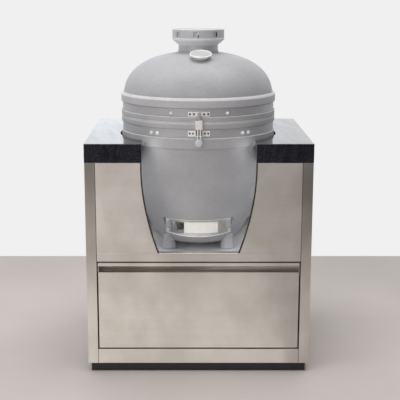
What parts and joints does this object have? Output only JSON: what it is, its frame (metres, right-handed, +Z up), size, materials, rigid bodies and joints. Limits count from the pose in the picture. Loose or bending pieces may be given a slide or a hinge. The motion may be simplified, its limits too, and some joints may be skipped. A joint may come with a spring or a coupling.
{
  "type": "kamado grill table",
  "caption": "Steel cabinet with a stone worktop and a wide drawer, holding a ceramic kamado grill in a round cut-out open to the front.",
  "frame": {"origin": "on the floor, under the middle of the worktop", "axes": "+X to the right seen from the front, +Y to the back, +Z up"},
  "size_m": [0.862, 0.742, 1.3104],
  "materials": {
    "brushed_sheet": "horizontally brushed stainless sheet",
    "inner_sheet": "plain stainless sheet",
    "worktop_stone": "polished black stone with faint veins",
    "plinth_black": "matt black",
    "runner_zinc": "bright zinc plate",
    "shell_ceramic": "pale grey pebbled glaze, matt",
    "fire_clay": "bare fire clay",
    "gasket_felt": "grey felt",
    "band_grey": "satin grey",
    "bright_steel": "polished stainless",
    "grate_iron": "seasoned cast iron",
    "rod_steel": "drawn stainless rod",
    "knob_grey": "blue-grey, smooth",
    "vent_grey": "grey powder coat on cast aluminium",
    "dial_glass": "clear glass"
  },
  "bodies": {
    "table": {"worktop": "worktop_stone", "side_panel_left": "brushed_sheet", "side_panel_right": "brushed_sheet", "side_liner_left": "inner_sheet", "side_liner_right": "inner_sheet", "mid_rail": "brushed_sheet", "bottom_rail": "brushed_sheet", "front_panel_left": "brushed_sheet", "front_panel_right": "brushed_sheet", "back_panel": "brushed_sheet", "grill_shelf": "inner_sheet", "shelf_beam_left": "inner_sheet", "shelf_beam_right": "inner_sheet", "cabinet_floor": "inner_sheet", "plinth": "plinth_black", "runner_cabinet_left": "runner_zinc", "runner_cabinet_right": "runner_zinc", "base_shell": "shell_ceramic", "draft_frame": "bright_steel", "lower_gasket": "gasket_felt", "lower_band": "band_grey", "fire_box": "fire_clay", "fire_ring": "fire_clay", "charcoal_grate": "grate_iron", "cooking_grate": "rod_steel", "grill_foot_1": "shell_ceramic", "grill_foot_2": "shell_ceramic", "grill_foot_3": "shell_ceramic", "grill_foot_4": "shell_ceramic", "hinge_base_bracket": "bright_steel", "hinge_pin": "rod_steel", "hinge_spring_left": "rod_steel", "hinge_spring_right": "rod_steel", "latch_base_bracket": "bright_steel", "latch_block": "bright_steel"},
    "drawer": {"drawer_front": "brushed_sheet", "drawer_handle": "brushed_sheet", "drawer_inner_front": "inner_sheet", "drawer_back": "inner_sheet", "drawer_bottom": "inner_sheet", "drawer_side_left": "inner_sheet", "drawer_side_right": "inner_sheet", "runner_drawer_left": "runner_zinc", "runner_drawer_right": "runner_zinc"},
    "runner_left": {"runner_middle_left": "runner_zinc"},
    "runner_right": {"runner_middle_right": "runner_zinc"},
    "lid": {"lid_shell": "shell_ceramic", "upper_gasket": "gasket_felt", "upper_band": "band_grey", "latch_keeper": "bright_steel", "hinge_lid_bracket": "bright_steel", "vent_core": "vent_grey", "thermometer_case": "bright_steel", "thermometer_glass": "dial_glass"},
    "vent_top": {"vent_cap": "vent_grey"},
    "draft_slider": {"draft_door": "bright_steel"},
    "latch_handle": {"latch_knob": "knob_grey", "latch_rod_left": "rod_steel", "latch_rod_right": "rod_steel", "latch_pawl": "rod_steel"}
  },
  "joints": [
    {"name": "drawer_slide", "type": "slide", "parent": "table", "child": "drawer", "axis": [0, -1, 0], "range_m": [0, 0.5]},
    {"name": "runner_left_slide", "type": "slide", "parent": "table", "child": "runner_left", "axis": [0, -1, 0], "range_m": [0, 0.25]},
    {"name": "runner_right_slide", "type": "slide", "parent": "table", "child": "runner_right", "axis": [0, -1, 0], "range_m": [0, 0.25]},
    {"name": "lid_hinge", "type": "hinge", "parent": "table", "child": "lid", "pos_m": [0, 0.3, 0.9755], "axis": [-1, 0, 0], "range_deg": [0, 70]},
    {"name": "vent_cap_turn", "type": "hinge", "parent": "lid", "child": "vent_top", "pos_m": [0, -0.053, 1.2915], "axis": [0, 0, 1], "range_deg": [-4, 10]},
    {"name": "draft_door_turn", "type": "hinge", "parent": "table", "child": "draft_slider", "pos_m": [0, -0.053, 0.55], "axis": [0, 0, 1], "range_deg": [-15.5, 0]},
    {"name": "latch_pull", "type": "slide", "parent": "table", "child": "latch_handle", "axis": [0, 0, -1], "range_m": [0, 0.008], "stiffness_N_per_m": 500, "springref_m": -0.01}
  ],
  "couplings": [
    {"joint": "runner_left_slide", "follows": "drawer_slide", "ratio": 0.5},
    {"joint": "runner_right_slide", "follows": "drawer_slide", "ratio": 0.5}
  ]
}
